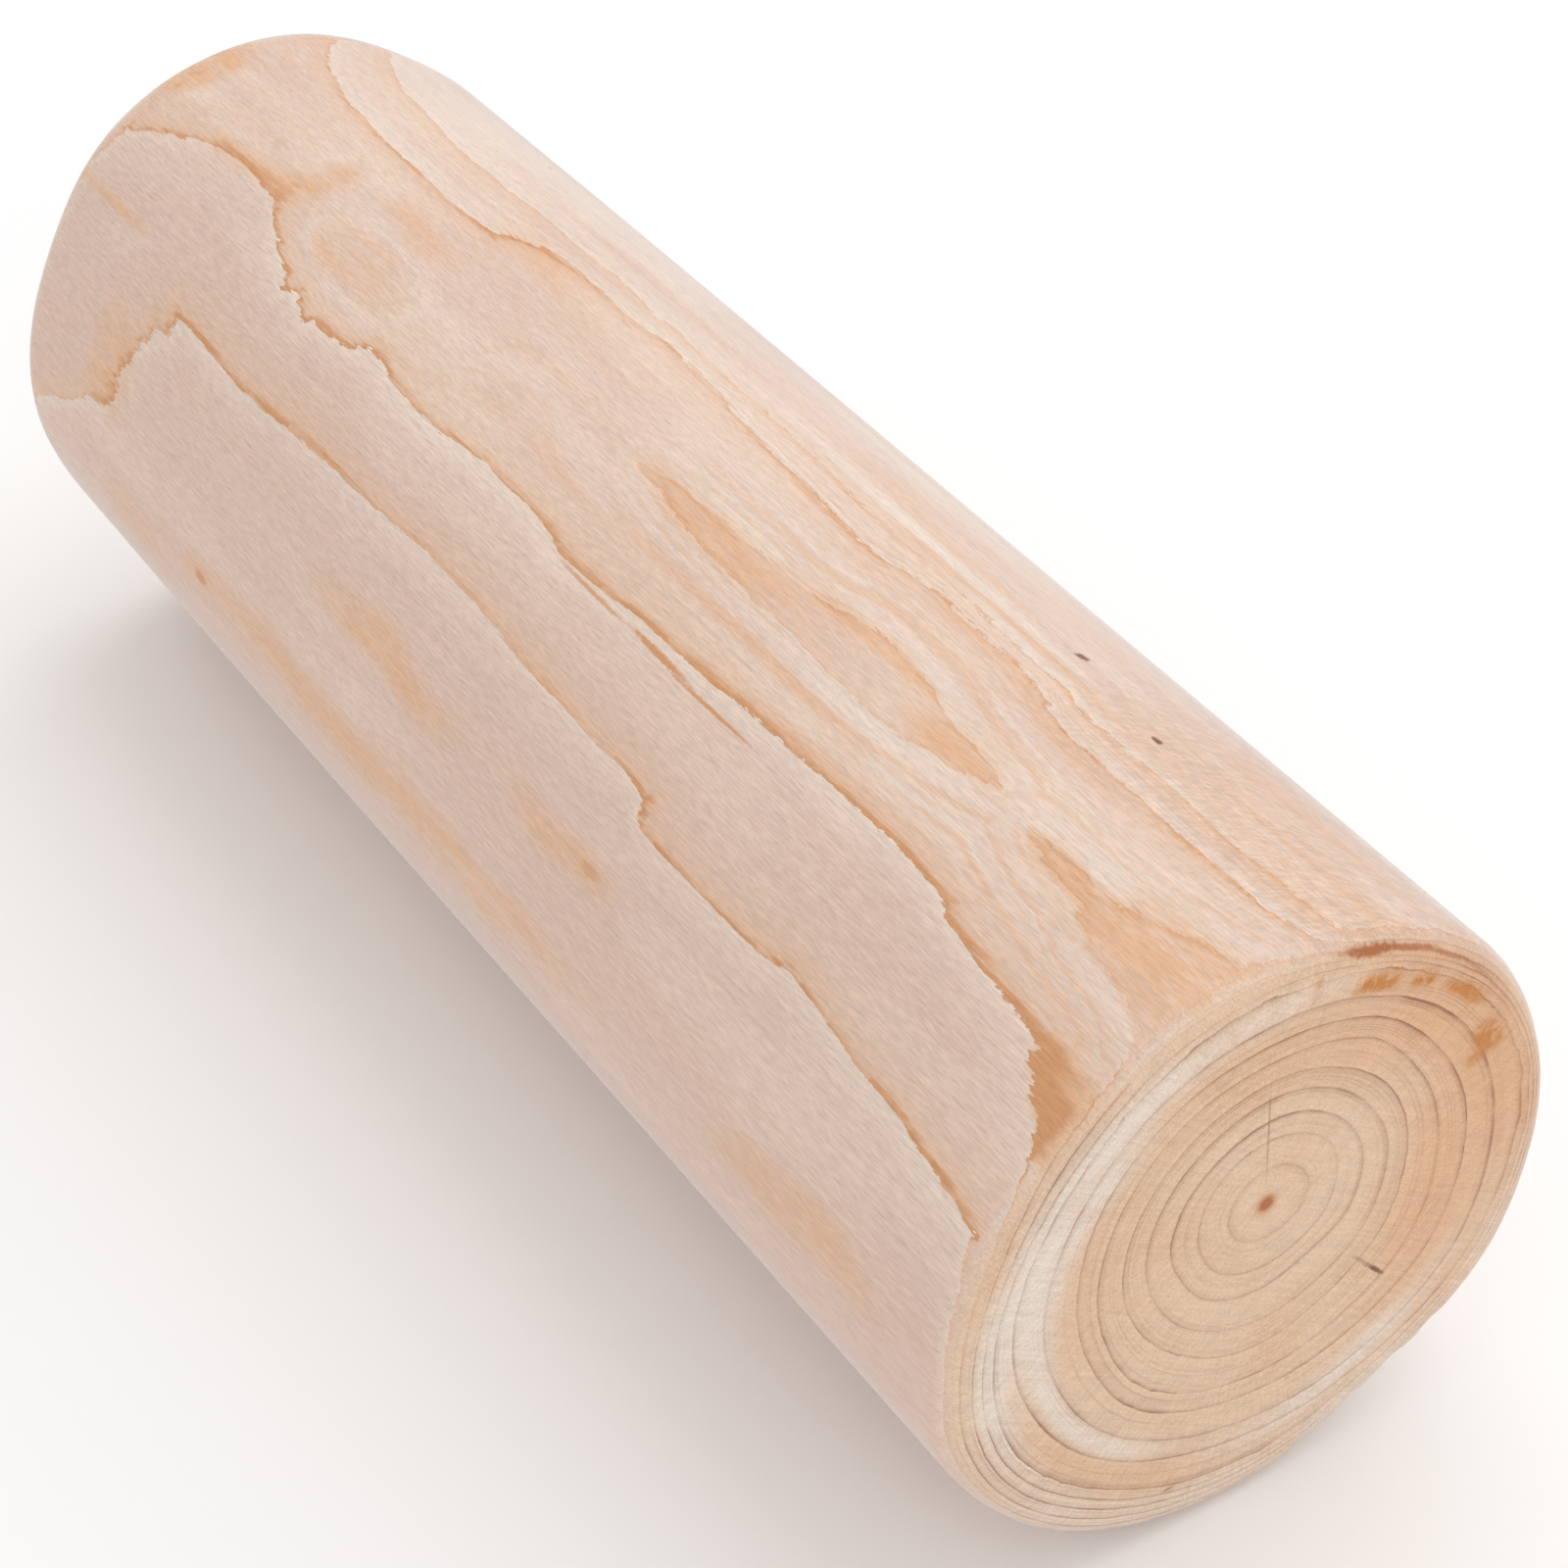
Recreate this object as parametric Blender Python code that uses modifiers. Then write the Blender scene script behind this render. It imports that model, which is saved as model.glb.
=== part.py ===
"""A short section of peeled and sanded softwood log, lying on its side.

The log runs along X: +X is the sawn end that shows, -X the other one. It rests
on a narrow flat at its lowest line, and the origin is the bottom centre of its
box. Lengths are in metres, angles in degrees about the log's axis, from +Y
towards +Z.
"""

import math

import bmesh
import bpy

# Driving dimensions
LENGTH = 0.280
RADIUS = 0.050
NEAR_ROUND = 0.0048
FAR_ROUND = 0.0100

# The trunk is a little oval, and thicker at the far end
OVAL = 0.018
OVAL_ANGLE = 119.0
FAR_SWELL = 0.018

# How far each saw cut leans along X, for each unit of Y and of Z
NEAR_LEAN = (0.016, 0.009)
FAR_LEAN = (-0.025, -0.082)

# Stretches of the near rim worn rounder than the rest: angle, half width, extra rounding
NEAR_WEAR = (
    (28.0, 20.0, 0.0015),
    (208.0, 16.0, 0.0020),
    (298.0, 16.0, 0.0015),
)

# Low lumps and hollows of the trunk: angle, half width, height, and how far it
# fades from its end. The near ones give the rim its blunt corner and flat side.
NEAR_LUMPS = (
    (332.0, 14.0, 0.0009, 0.040),
    (300.0, 15.0, -0.0011, 0.030),
)
FAR_LUMPS = (
    (57.0, 16.0, -0.0011, 0.045),
    (148.0, 17.0, -0.0013, 0.045),
    (182.0, 13.0, 0.0006, 0.045),
    (206.0, 12.0, -0.0006, 0.045),
)

# The flat that it rests on, cut this deep at the near end
FLAT_DEPTH = 0.0004

# How finely the surface is divided
STEPS_AROUND = 80
STEPS_ALONG = 20
STEPS_IN_ROUND = 4

SHARP_ANGLE = 35.0
WOOD_COLOUR = (0.700, 0.520, 0.370, 1.0)
WOOD_ROUGHNESS = 0.62


def clear_scene():
    """Removes whatever the scene starts with."""
    for obj in list(bpy.data.objects):
        bpy.data.objects.remove(obj, do_unlink=True)


def closeness(angle, middle, half_width):
    """1 at an angle about the axis, falling smoothly to 0 round it."""
    apart = (angle - middle + 180.0) % 360.0 - 180.0
    return math.exp(-((apart / half_width) ** 2))


def near_round(angle):
    """The near rim's rounding at an angle, with its worn stretches."""
    return NEAR_ROUND + sum(extra * closeness(angle, middle, half) for middle, half, extra in NEAR_WEAR)


def lumps(angle, distance, places):
    """How high an end's lumps stand at an angle, at a distance from that end."""
    height = 0.0
    for middle, half_width, peak, reach in places:
        height += peak * closeness(angle, middle, half_width) * math.exp(-((distance / reach) ** 2))
    return height


def trunk_radius(angle, station):
    """The log's radius at an angle, at a distance from the near cut."""
    oval = 1.0 + OVAL * math.cos(2.0 * math.radians(angle - OVAL_ANGLE))
    swell = 1.0 + FAR_SWELL * station / LENGTH
    uneven = lumps(angle, station, NEAR_LUMPS) + lumps(angle, LENGTH - station, FAR_LUMPS)
    return RADIUS * oval * swell + uneven


def blank_profile():
    """The outline of the plain turned blank, as (x, radius) from end to end."""
    half = LENGTH / 2.0
    points = [(half, 0.0)]
    for step in range(STEPS_IN_ROUND + 1):
        turn = math.pi / 2.0 * (1.0 - step / STEPS_IN_ROUND)
        x = half - NEAR_ROUND + NEAR_ROUND * math.sin(turn)
        points.append((x, RADIUS - NEAR_ROUND + NEAR_ROUND * math.cos(turn)))
    straight = LENGTH - NEAR_ROUND - FAR_ROUND
    for step in range(1, STEPS_ALONG):
        points.append((half - NEAR_ROUND - straight * step / STEPS_ALONG, RADIUS))
    for step in range(STEPS_IN_ROUND + 1):
        turn = math.pi / 2.0 * step / STEPS_IN_ROUND
        x = -half + FAR_ROUND - FAR_ROUND * math.sin(turn)
        points.append((x, RADIUS - FAR_ROUND + FAR_ROUND * math.cos(turn)))
    points.append((-half, 0.0))
    return points


def turned_blank(name, collection):
    """A turned cylinder with rounded rims, from its profile and a Screw modifier."""
    mesh = bpy.data.meshes.new(name)
    profile = bmesh.new()
    verts = [profile.verts.new((x, radius, 0.0)) for x, radius in blank_profile()]
    for first, second in zip(verts, verts[1:]):
        profile.edges.new((first, second))
    profile.to_mesh(mesh)
    profile.free()
    log = bpy.data.objects.new(name, mesh)
    collection.objects.link(log)
    screw = log.modifiers.new("Turn", "SCREW")
    screw.axis = "X"
    screw.angle = math.radians(360.0)
    screw.steps = STEPS_AROUND
    screw.render_steps = STEPS_AROUND
    screw.use_merge_vertices = True
    screw.merge_threshold = 0.0001
    bpy.context.view_layer.objects.active = log
    bpy.ops.object.modifier_apply(modifier=screw.name)
    return log


def grown_place(x, y, z):
    """Where a point of the blank lies on the log, about the log's axis."""
    blank_radius = math.hypot(y, z)
    angle = math.degrees(math.atan2(z, y)) % 360.0
    rim = near_round(angle)
    depth = LENGTH / 2.0 - x
    wear = rim / NEAR_ROUND
    if depth < NEAR_ROUND:
        station = depth * wear
        inset = (RADIUS - blank_radius) * wear
    else:
        station = LENGTH - (LENGTH - depth) * (LENGTH - rim) / (LENGTH - NEAR_ROUND)
        inset = RADIUS - blank_radius
    on_axis = blank_radius < RADIUS / 10.0
    radius = 0.0 if on_axis else trunk_radius(angle, station) - inset
    across = radius * math.cos(math.radians(angle))
    up = radius * math.sin(math.radians(angle))
    share = station / LENGTH
    near_lean = NEAR_LEAN[0] * across + NEAR_LEAN[1] * up
    far_lean = FAR_LEAN[0] * across + FAR_LEAN[1] * up
    along = LENGTH / 2.0 - station + (1.0 - share) * near_lean + share * far_lean
    return along, across, up


def grow(log):
    """Gives the blank the log's oval section, leaning cuts and worn rims, and its flat."""
    shape = bmesh.new()
    shape.from_mesh(log.data)
    flat_level = FLAT_DEPTH - RADIUS
    for vert in shape.verts:
        vert.co = grown_place(*vert.co)
        vert.co.z = max(vert.co.z, flat_level)
    lows = [min(vert.co[axis] for vert in shape.verts) for axis in range(3)]
    highs = [max(vert.co[axis] for vert in shape.verts) for axis in range(3)]
    middle = ((lows[0] + highs[0]) / 2.0, (lows[1] + highs[1]) / 2.0, lows[2])
    bmesh.ops.translate(shape, verts=shape.verts, vec=[-value for value in middle])
    bmesh.ops.recalc_face_normals(shape, faces=shape.faces)
    shape.to_mesh(log.data)
    shape.free()


def finish(log):
    """Smooth shading, and the pale wood's own colour."""
    log.data.shade_smooth()
    log.data.set_sharp_from_angle(angle=math.radians(SHARP_ANGLE))
    wood = bpy.data.materials.new("peeled_softwood")
    wood.use_nodes = True
    surface = wood.node_tree.nodes["Principled BSDF"]
    surface.inputs["Base Color"].default_value = WOOD_COLOUR
    surface.inputs["Roughness"].default_value = WOOD_ROUGHNESS
    surface.inputs["Metallic"].default_value = 0.0
    log.data.materials.append(wood)


def main():
    """Builds the log in a collection of its own."""
    clear_scene()
    collection = bpy.data.collections.new("tree_stump")
    bpy.context.scene.collection.children.link(collection)
    log = turned_blank("stump_log", collection)
    grow(log)
    finish(log)


main()
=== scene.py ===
"""The looks of a short section of peeled and sanded softwood log.

The log lies along X, with its showing sawn end at +X. Markings are placed by
station, the distance from that end in millimetres, and by angle, in degrees
about the log's axis from +Y towards +Z. Shapes are in metres.
"""

import logging
import math
from collections.abc import Callable
from dataclasses import dataclass, field
from enum import Enum

import bmesh
import bpy
import numpy as np
from mathutils import Matrix, Vector


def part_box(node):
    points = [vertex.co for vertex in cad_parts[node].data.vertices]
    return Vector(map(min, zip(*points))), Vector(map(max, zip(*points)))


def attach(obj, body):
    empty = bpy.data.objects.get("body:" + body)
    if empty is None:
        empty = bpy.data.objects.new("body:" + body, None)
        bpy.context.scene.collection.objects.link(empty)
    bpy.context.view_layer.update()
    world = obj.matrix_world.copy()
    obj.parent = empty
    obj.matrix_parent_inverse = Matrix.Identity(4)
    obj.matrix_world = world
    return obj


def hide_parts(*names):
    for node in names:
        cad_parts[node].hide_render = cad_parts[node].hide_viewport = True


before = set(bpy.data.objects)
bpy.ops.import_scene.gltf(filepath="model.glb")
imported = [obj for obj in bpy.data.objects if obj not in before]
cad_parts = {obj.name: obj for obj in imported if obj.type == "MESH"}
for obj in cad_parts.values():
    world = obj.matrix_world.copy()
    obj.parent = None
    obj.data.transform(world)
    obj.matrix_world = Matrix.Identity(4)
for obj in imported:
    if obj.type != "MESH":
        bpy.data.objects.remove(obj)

LOGGER = logging.getLogger("peeled_log")
MM = 0.001

Pair = tuple[float, float]
Triple = tuple[float, float, float]
Quad = tuple[float, float, float, float]
Colour = Triple
Run = tuple[Pair, ...]
Socket = bpy.types.NodeSocket
Array = np.ndarray

# Sockets of the Mix node when it mixes colours, by number
MIX_FACTOR, MIX_UNDER, MIX_OVER, MIX_RESULT = 0, 6, 7, 2


def painted(red: int, green: int, blue: int) -> Colour:
    """A colour as light, from the way a screen would write it.

    Args:
        red: 0 to 255.
        green: 0 to 255.
        blue: 0 to 255.

    Returns:
        The three channels as linear light, 0 to 1.
    """
    def linear(channel: int) -> float:
        """One channel as linear light."""
        share = channel / 255.0
        return share / 12.92 if share <= 0.04045 else ((share + 0.055) / 1.055) ** 2.4

    return linear(red), linear(green), linear(blue)


def ramp(value: Array) -> Array:
    """The value itself from 0 to 1, and no lower or higher."""
    return np.clip(value, 0.0, 1.0)


def eased(value: Array) -> Array:
    """A smooth step from 0 to 1 while the value goes from 0 to 1."""
    step = ramp(value)
    return step * step * (3.0 - 2.0 * step)


def past(angle: Array, middle: float) -> Array:
    """How far an angle is past another one, from -180 to 180 degrees."""
    return (angle - middle + 180.0) % 360.0 - 180.0


def closeness(angle: Array, middle: float, half_width: float) -> Array:
    """1 at an angle about the axis, falling smoothly to 0 round it."""
    return np.exp(-((past(angle, middle) / half_width) ** 2))


def numbers_of(items: bpy.types.bpy_prop_collection, name: str, width: int, kind: type = np.float32) -> Array:
    """What the items of a mesh hold under one name.

    Args:
        items: The mesh's vertices, normals or edges.
        name: The name.
        width: How many numbers each item holds there.
        kind: The numbers' type.

    Returns:
        One row for each item.
    """
    numbers = np.empty(len(items) * width, kind)
    items.foreach_get(name, numbers)
    return numbers.reshape(-1, width)


class LogEnd(Enum):
    """The log's two sawn ends, by the sign of their X."""

    NEAR = 1
    FAR = -1


class Wood(Enum):
    """What an island of the surface shows, next to the year round it."""

    OLDER = -1
    YOUNGER = 1


class Mark(Enum):
    """What a small dark mark is."""

    KNOT = "knot"
    STAIN = "stain"
    SCORCH = "scorch"


@dataclass(frozen=True)
class Patch:
    """A stretch of the sides with soft edges.

    Args:
        stations: Lowest and highest station.
        angles: Lowest and highest angle.
        strength: How much it shows, 0 to 1.
        fade: How wide its edges fade, in millimetres.
    """

    stations: Pair
    angles: Pair
    strength: float
    fade: float = 6.0


@dataclass(frozen=True)
class Stroke:
    """A thin line of darker wood.

    Args:
        points: Stations and angles that it runs through.
        half_width: Half its width, in millimetres.
        strength: How much it shows, 0 to 1.
    """

    points: Run
    half_width: float
    strength: float


@dataclass(frozen=True)
class Knot:
    """A pin knot, a brown spot or a splinter on the sides.

    Args:
        station: Where it is along the log.
        angle: Where it is round the log.
        reach: Its half length and half width, in millimetres.
        turn: How it is turned from the log's length, in degrees.
        strength: How dark it is, 0 to 1.
        kind: What it is.
    """

    station: float
    angle: float
    reach: Pair
    turn: float
    strength: float
    kind: Mark = Mark.KNOT


@dataclass(frozen=True)
class Check:
    """A short crack or streak on the near end.

    Args:
        start: Its inner end, in millimetres across and up from the axis.
        end: Its outer end.
        half_width: Half its width, in millimetres.
        strength: How dark it is, 0 to 1.
        kind: What it is.
    """

    start: Pair
    end: Pair
    half_width: float
    strength: float
    kind: Mark = Mark.KNOT


@dataclass(frozen=True)
class GrowthLine:
    """The edge of one year's wood where the sanding laid it bare.

    Args:
        points: Stations and angles from the far end to the near one, stations falling.
        strength: How tan the late wood beside it is, as stations and shares, stations falling.
    """

    points: Run
    strength: Run = ((0.0, 0.7),)

    def angle_at(self, station: Array) -> Array:
        """The line's angle at each station."""
        places = np.array(self.points)[::-1]
        return np.interp(station, places[:, 0], places[:, 1])

    def strength_at(self, station: Array) -> Array:
        """How tan the late wood is at each station."""
        places = np.array(self.strength)[::-1]
        return np.interp(station, places[:, 0], places[:, 1])


@dataclass(frozen=True)
class Island:
    """A closed patch of another year's wood.

    Args:
        upper: Its edge at the higher angles, from the far tip to the near one.
        lower: Its edge at the lower angles, from the far tip to the near one.
        wood: Whether it shows older or younger wood than what is round it.
        strength: How tan the late wood along its edge is.
    """

    upper: Run
    lower: Run
    wood: Wood = Wood.OLDER
    strength: float = 0.8

    def outline(self) -> Run:
        """The whole edge as one closed run of points."""
        return self.upper + self.lower[::-1] + self.upper[:1]

    def holds(self, station: Array, angle: Array) -> Array:
        """Which points lie inside the island.

        Args:
            station: Their stations.
            angle: Their angles.

        Returns:
            True where a point is inside.
        """
        upper = np.array(self.upper)[::-1]
        lower = np.array(self.lower)[::-1]
        tips = min(upper[0, 0], lower[0, 0]), max(upper[-1, 0], lower[-1, 0])
        top = np.interp(station, upper[:, 0], upper[:, 1])
        bottom = np.interp(station, lower[:, 0], lower[:, 1])
        return (station > tips[0]) & (station < tips[1]) & (angle < top) & (angle > bottom)


def wandering_line(start: float, drift: float, steps: Run, turn: float) -> GrowthLine:
    """A growth line on the sides that nobody sees at first, with a few hooks.

    Args:
        start: Its angle at the near end.
        drift: How far its angle changes over the log's length.
        steps: Stations where it steps sideways, and by how much.
        turn: Where its waves start, in radians.

    Returns:
        The line.
    """
    points = []
    for station in range(292, -13, -4):
        angle = start + drift * station / 280.0
        angle += 1.3 * math.sin(station / 47.0 + turn) + 0.5 * math.sin(station / 13.0 + 2.7 * turn)
        for place, rise in steps:
            angle += rise / (1.0 + math.exp((place - station) / 2.2))
        points.append((float(station), angle))
    return GrowthLine(tuple(points), ((290.0, 0.55), (200.0, 0.75), (110.0, 0.5), (0.0, 0.8)))


def lens(stations: Pair, middle: float, half_height: float, turn: float, wood: Wood) -> Island:
    """A leaf-shaped island on the sides that nobody sees at first.

    Args:
        stations: Its near and far tips.
        middle: Its angle.
        half_height: Half its height, in degrees.
        turn: Where its waves start, in radians.
        wood: Whether it shows older or younger wood.

    Returns:
        The island.
    """
    upper, lower = [], []
    count = 24
    for step in range(count + 1):
        share = step / count
        station = stations[1] + (stations[0] - stations[1]) * share
        bend = middle + 1.5 * math.sin(2.6 * share + turn)
        swell = half_height * math.sin(math.pi * share) ** 0.8
        upper.append((station, bend + swell * (1.0 + 0.25 * math.sin(7.0 * share + turn))))
        lower.append((station, bend - swell * (1.0 + 0.25 * math.sin(6.0 * share + 2.0 * turn))))
    return Island(tuple(upper), tuple(lower), wood, 0.7)


@dataclass(frozen=True)
class RingRead:
    """One growth ring of the sawn end.

    Args:
        shares: How far out it is from pith to rim, every 30 degrees about the pith.
        tone: How dark it is.
        darker: Stretches where it is darker: angle, half width and extra.
    """

    shares: tuple[float, ...]
    tone: float
    darker: tuple[Triple, ...] = ()


@dataclass(frozen=True)
class LogShape:
    """The log's sizes, the same as its solid's.

    Every place is about the log's axis, before the log is set down on its flat.
    """

    length: float = 0.280
    radius: float = 0.050
    near_round: float = 0.0048
    far_round: float = 0.0100
    oval: float = 0.018
    oval_angle: float = 119.0
    far_swell: float = 0.018
    near_lean: Pair = (0.016, 0.009)
    far_lean: Pair = (-0.025, -0.082)
    near_wear: tuple[Triple, ...] = ((28.0, 20.0, 0.0015), (208.0, 16.0, 0.0020), (298.0, 16.0, 0.0015))
    near_lumps: tuple[Quad, ...] = (
        (332.0, 14.0, 0.0009, 0.040),
        (300.0, 15.0, -0.0011, 0.030),
    )
    far_lumps: tuple[Quad, ...] = (
        (57.0, 16.0, -0.0011, 0.045),
        (148.0, 17.0, -0.0013, 0.045),
        (182.0, 13.0, 0.0006, 0.045),
        (206.0, 12.0, -0.0006, 0.045),
    )
    flat_depth: float = 0.0004

    def rounding(self, end: LogEnd) -> float:
        """How far an end's rim is rounded, before any wear."""
        return self.near_round if end is LogEnd.NEAR else self.far_round

    def worn_round(self, angle: Array) -> Array:
        """The near rim's rounding at an angle."""
        extra = sum(more * closeness(angle, middle, half) for middle, half, more in self.near_wear)
        return self.near_round + extra

    def trunk_radius(self, angle: Array, station: Array) -> Array:
        """The log's radius, with its oval section, swelling and lumps.

        Args:
            angle: Degrees about the axis.
            station: Metres from the near cut.

        Returns:
            The radius in metres.
        """
        oval = 1.0 + self.oval * np.cos(2.0 * np.radians(angle - self.oval_angle))
        radius = self.radius * oval * (1.0 + self.far_swell * station / self.length)
        for distance, places in ((station, self.near_lumps), (self.length - station, self.far_lumps)):
            for middle, half_width, peak, reach in places:
                fade = np.exp(-((distance / reach) ** 2))
                radius = radius + peak * closeness(angle, middle, half_width) * fade
        return radius


@dataclass
class Surface:
    """Where each point of the log's surface is, for its markings.

    Args:
        station: Millimetres from the near cut.
        angle: Degrees about the axis, 0 to 360.
        across: Millimetres from the axis along Y.
        up: Millimetres from the axis along Z.
        cut: 0 on the sides, 1 on the sawn ends.
    """

    station: Array
    angle: Array
    across: Array
    up: Array
    cut: Array


@dataclass
class GrowthField:
    """The year of the wood at every point of the surface.

    The years count up from the pith. The sanding laid bare the oldest of them
    along the top, and younger ones down both sides.
    """

    left_lines: tuple[GrowthLine, ...]
    right_lines: tuple[GrowthLine, ...]
    islands: tuple[Island, ...]
    rings: tuple[RingRead, ...]
    shape: LogShape
    near_pith: Pair = (-1.0, 10.3)
    far_pith: Pair = (1.5, 7.0)
    valley_angle: float = 100.0
    valley_year: float = 12.0
    widest_year: float = 22.0
    far_turn: float = 24.0

    def mm_per_degree(self) -> float:
        """How far a degree about the axis is, on the surface."""
        return math.radians(self.shape.radius / MM)

    def distance(self, points: Run, station: Array, angle: Array) -> Array:
        """How far each place is from a run of points on the surface.

        Args:
            points: The run's stations and angles.
            station: The places' stations.
            angle: The places' angles.

        Returns:
            The distances in millimetres.
        """
        scale = self.mm_per_degree()
        run = np.array(points) * (1.0, scale)
        nearest = np.full(len(station), 1e9)
        arc = angle * scale
        for (s0, a0), (s1, a1) in zip(run, run[1:]):
            ds, da = s1 - s0, a1 - a0
            share = ramp(((station - s0) * ds + (arc - a0) * da) / max(ds * ds + da * da, 1e-9))
            nearest = np.minimum(nearest, (station - s0 - share * ds) ** 2 + (arc - a0 - share * da) ** 2)
        return np.sqrt(nearest)

    def side_year(self, station: Array, angle: Array) -> tuple[Array, Array]:
        """The year of the wood on the log's sides.

        Args:
            station: Millimetres from the near cut.
            angle: Degrees about the axis.

        Returns:
            The year, whole where a growth line runs, and how tan its late wood is.
        """
        low = past(angle, self.valley_angle) + self.valley_angle
        starts = (self.valley_year, self.widest_year, self.widest_year, 0.5)
        year, older, younger, tone = (np.full(len(station), start) for start in starts)
        for lines, turn in ((self.left_lines, 1.0), (self.right_lines, -1.0)):
            passed = np.zeros(len(station), int)
            for number, line in enumerate(lines):
                apart = (low - line.angle_at(station)) * turn
                gap = self.distance(line.points, station, low)
                beyond = apart > 0.0
                near_side = ~beyond & (passed == number) & ((low - self.valley_angle) * turn >= -40.0)
                closer = near_side & (gap < younger)
                younger[closer], tone[closer] = gap[closer], line.strength_at(station)[closer]
                year[beyond] += 1.0
                older[beyond], younger[beyond], tone[beyond] = gap[beyond], self.widest_year, 0.5
                passed[beyond] += 1
        for island in self.islands:
            turned = low + 360.0 * ((low < 0.0) & (min(a for _, a in island.lower) > 180.0))
            gap = self.distance(island.outline(), station, turned)
            inside = island.holds(station, turned)
            outside = (gap < 40.0) & ~inside
            year[inside] += island.wood.value
            if island.wood is Wood.OLDER:
                younger[inside], older[inside], tone[inside] = gap[inside], self.widest_year, island.strength
                older[outside] = np.minimum(older[outside], gap[outside])
                tone[outside & (gap < 2.0) & (younger > 3.0)] = island.strength
            else:
                older[inside], younger[inside] = gap[inside], self.widest_year
                closer = outside & (gap < younger)
                tone[closer], younger[closer] = island.strength, gap[closer]
        return year + older / np.maximum(older + younger, 1e-6), tone

    def around(self, values: tuple[float, ...], angle: Array) -> Array:
        """A smooth curve through values spaced evenly round a circle.

        Args:
            values: The values that it runs through, the first at 0 degrees.
            angle: Where it is read, in degrees.

        Returns:
            The curve there.
        """
        count = len(values)
        place = (angle % 360.0) / 360.0 * count
        first = np.floor(place).astype(int)
        share = place - first
        before, start, end, after = (np.array(values)[(first + shift) % count] for shift in (-1, 0, 1, 2))
        bend = 2.0 * before - 5.0 * start + 4.0 * end - after
        twist = 3.0 * (start - end) + after - before
        return start + 0.5 * share * (end - before + share * (bend + share * twist))

    def year(self, surface: Surface) -> tuple[Array, Array, Array, Array, Array]:
        """The year of the wood all over the log, its sawn ends among it.

        Args:
            surface: The places to look at.

        Returns:
            The year, how dark its late wood is, and each point's angle about the pith,
            its distance from the pith and its share of the way to the rim.
        """
        far = surface.station > self.shape.length / MM / 2.0
        pith_across = np.where(far, self.far_pith[0], self.near_pith[0])
        pith_up = np.where(far, self.far_pith[1], self.near_pith[1])
        across, up = surface.across - pith_across, surface.up - pith_up
        reach = np.maximum(np.hypot(across, up), 1e-6)
        about_pith = np.degrees(np.arctan2(up, across))
        to_rim = np.full(len(reach), self.shape.radius / MM)
        for _ in range(12):
            rim_across = pith_across + across / reach * to_rim
            rim_up = pith_up + up / reach * to_rim
            rim_angle = np.degrees(np.arctan2(rim_up, rim_across))
            wanted = self.shape.trunk_radius(rim_angle, surface.station * MM) / MM
            to_rim = to_rim + (wanted - np.hypot(rim_across, rim_up))
        share = np.minimum(reach / to_rim, 1.0)
        rim_year, tone = self.side_year(surface.station, rim_angle % 360.0)
        turned = about_pith + np.where(far, self.far_turn, 0.0)
        inner = np.zeros(len(reach))
        year = np.zeros(len(reach))
        for number, ring in enumerate(self.rings):
            outer = self.around(ring.shares, turned)
            here = (share >= inner) & (share < outer)
            year[here] = number + ((share - inner) / (outer - inner))[here]
            darker = sum(extra * closeness(turned, middle, half) for middle, half, extra in ring.darker)
            tone = np.where(here, ring.tone + darker, tone)
            inner = outer
        count = len(self.rings)
        outside = share >= inner
        spread = count + (rim_year - count) * (share - inner) / np.maximum(1.0 - inner, 1e-6)
        year[outside] = spread[outside]
        return year, tone, about_pith, reach, share


@dataclass(frozen=True)
class Grain:
    """A pattern of noise in the log's own space.

    Args:
        scale: How many features it has per metre, along X, Y and Z.
        detail: How many finer layers it has.
        roughness: How strong they are.
        shift: Moves it, so that two patterns differ.
        step: The smooth step that it is put through, as Signal.between takes it. Without
            one it stays a value round 0.5.
        turn: How it is turned, in radians about X, Y and Z.
    """

    scale: Triple
    detail: float
    roughness: float
    shift: float
    step: tuple[float, ...] = ()
    turn: Triple = (0.0, 0.0, 0.0)


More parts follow.
